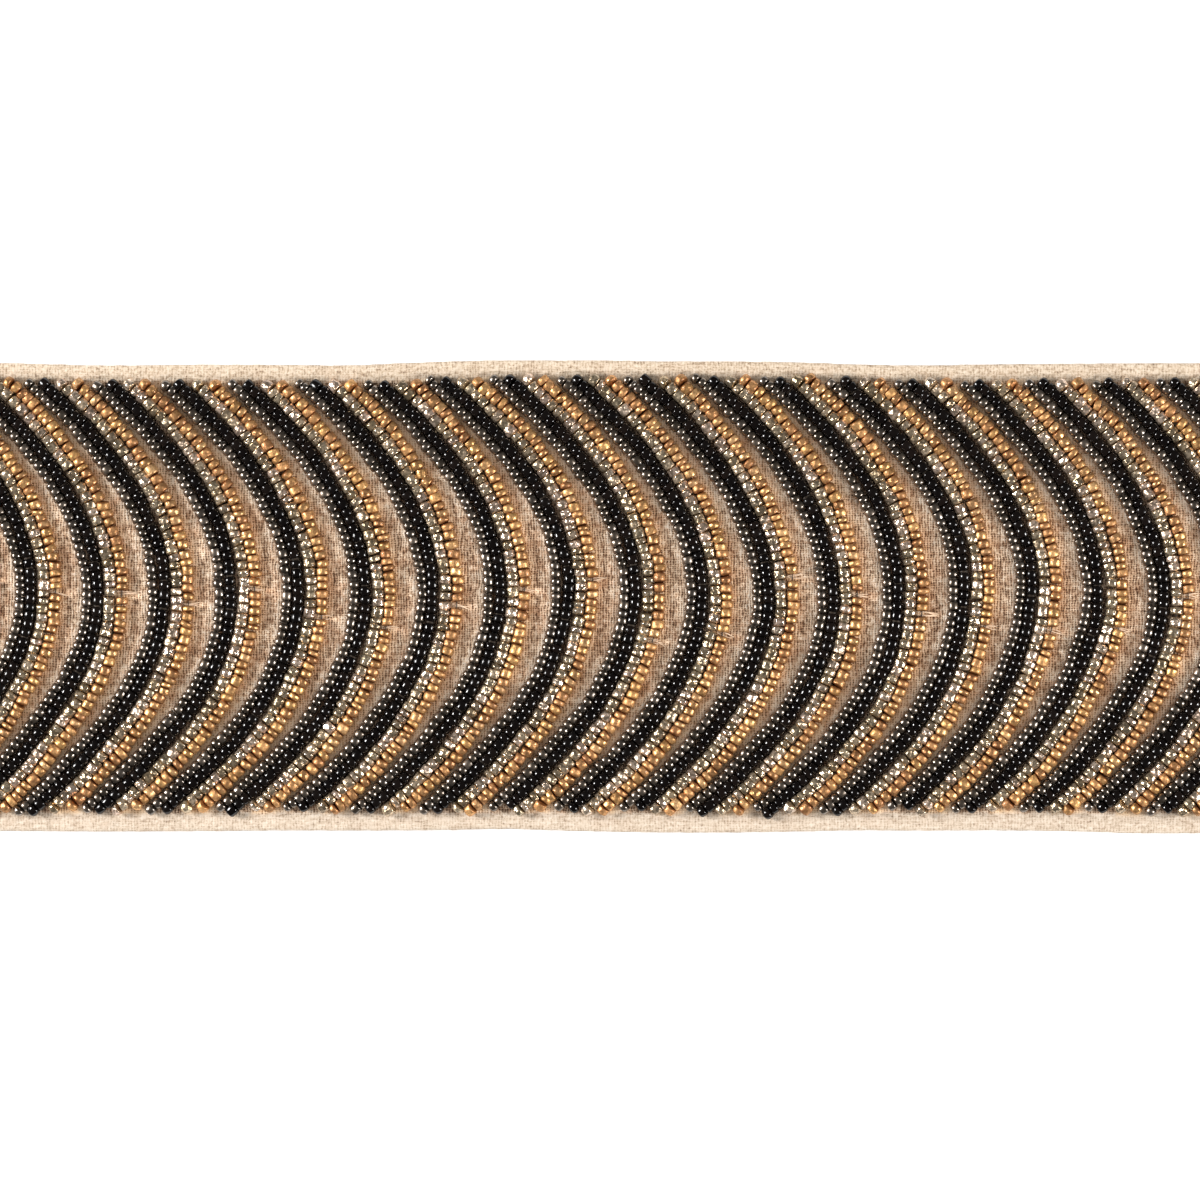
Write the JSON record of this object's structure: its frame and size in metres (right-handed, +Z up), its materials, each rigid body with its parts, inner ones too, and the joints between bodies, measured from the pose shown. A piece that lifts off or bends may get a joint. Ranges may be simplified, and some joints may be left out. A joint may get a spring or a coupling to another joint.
{
  "type": "beaded tape",
  "caption": "Flat cut length of hemmed linen tape with nested arcs of glass seed beads sewn across its face in dark and bright strands.",
  "frame": {"origin": "middle of the tape's flat back, on the surface that it lies on", "axes": "+X along the tape, towards which the arcs bulge; +Y across it; +Z up, out of the beaded face"},
  "size_m": [0.256, 0.09, 0.0034],
  "materials": {
    "linen": "fine plain weave, matt",
    "black_beads": "opaque, polished",
    "gunmetal_beads": "smoky grey, polished, part clear",
    "crystal_beads": "clear with a silvered hole",
    "gold_beads": "metallic bronze and gold glaze",
    "thread": "twisted sewing thread"
  },
  "bodies": {
    "root": {"ground_cloth": "linen", "dark_pair_01": "black_beads", "dark_pair_02": "black_beads", "dark_pair_03": "black_beads", "dark_pair_04": "black_beads", "dark_pair_05": "black_beads", "dark_pair_06": "black_beads", "dark_pair_07": "black_beads", "dark_pair_08": "black_beads", "dark_pair_09": "black_beads", "dark_pair_10": "black_beads", "dark_pair_11": "black_beads", "dark_pair_12": "black_beads", "dark_pair_13": "black_beads", "dark_pair_14": "black_beads", "dark_pair_15": "black_beads", "dark_pair_16": "black_beads", "dark_pair_17": "black_beads", "dark_pair_18": "black_beads", "dark_pair_19": "black_beads", "dark_pair_20": "black_beads", "dark_pair_21_upper": "black_beads", "dark_pair_21_lower": "black_beads", "dark_pair_22_upper": "black_beads", "dark_pair_22_lower": "black_beads", "bright_pair_01": "gold_beads", "bright_pair_02": "gold_beads", "bright_pair_03": "gold_beads", "bright_pair_04": "gold_beads", "bright_pair_05": "gold_beads", "bright_pair_06": "gold_beads", "bright_pair_07": "gold_beads", "bright_pair_08": "gold_beads", "bright_pair_09": "gold_beads", "bright_pair_10": "gold_beads", "bright_pair_11": "gold_beads", "bright_pair_12": "gold_beads", "bright_pair_13": "gold_beads", "bright_pair_14": "gold_beads", "bright_pair_15": "gold_beads", "bright_pair_16": "gold_beads", "bright_pair_17": "gold_beads", "bright_pair_18": "gold_beads", "bright_pair_19": "gold_beads", "bright_pair_20": "gold_beads", "bright_pair_21_upper": "gold_beads", "bright_pair_21_lower": "gold_beads", "bright_pair_22_lower": "gold_beads"}
  },
  "joints": []
}
